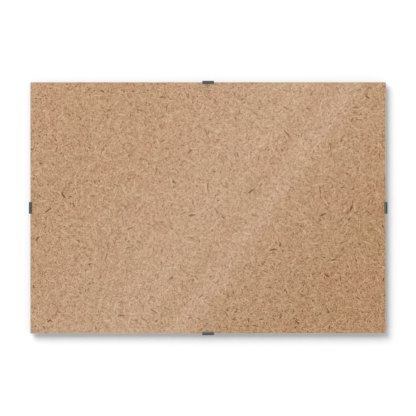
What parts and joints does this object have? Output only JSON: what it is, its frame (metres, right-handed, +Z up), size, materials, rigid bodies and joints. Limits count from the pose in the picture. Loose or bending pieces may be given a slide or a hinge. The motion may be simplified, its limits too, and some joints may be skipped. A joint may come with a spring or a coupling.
{
  "type": "frameless clip frame",
  "caption": "Frameless clip frame: a glass pane over a hardboard back, gripped at the middle of each side by a spring clip that swings off, and hung on a nail through the top clip's eye.",
  "frame": {"origin": "where the frame hangs: the middle of the arched edge of the top clip's window, on the wall plane that the clips' level runs lie on", "axes": "+X right as seen from the front, along the long sides; +Z up; the glass faces -Y and the wall is at +Y"},
  "size_m": [0.2992, 0.0102, 0.2122],
  "materials": {
    "float_glass": "clear float glass, ground arrised edges",
    "hardboard": "bare brown wood-fibre hardboard, smooth front, screen-marked rear, sawn edges",
    "spring_steel": "dark grey rolled spring steel, satin"
  },
  "bodies": {
    "panel": {"glass_pane": "float_glass", "backing_board": "hardboard"},
    "clip_top": {"clip_top": "spring_steel"},
    "clip_bottom": {"clip_bottom": "spring_steel"},
    "clip_left": {"clip_left": "spring_steel"},
    "clip_right": {"clip_right": "spring_steel"}
  },
  "joints": [
    {"name": "clip_top_swing", "type": "hinge", "parent": "panel", "child": "clip_top", "pos_m": [0, -0.0088, 0.00468], "axis": [1, 0, 0], "range_deg": [0, 70], "stiffness_Nm_per_rad": 0.0006, "springref_deg": -20.05},
    {"name": "clip_bottom_swing", "type": "hinge", "parent": "panel", "child": "clip_bottom", "pos_m": [0, -0.0088, -0.20212], "axis": [-1, 0, 0], "range_deg": [0, 70], "stiffness_Nm_per_rad": 0.0006, "springref_deg": -20.05},
    {"name": "clip_left_swing", "type": "hinge", "parent": "panel", "child": "clip_left", "pos_m": [-0.1469, -0.0088, -0.09872], "axis": [0, 0, 1], "range_deg": [0, 70], "stiffness_Nm_per_rad": 0.0006, "springref_deg": -20.05},
    {"name": "clip_right_swing", "type": "hinge", "parent": "panel", "child": "clip_right", "pos_m": [0.1469, -0.0088, -0.09872], "axis": [0, 0, -1], "range_deg": [0, 70], "stiffness_Nm_per_rad": 0.0006, "springref_deg": -20.05}
  ]
}
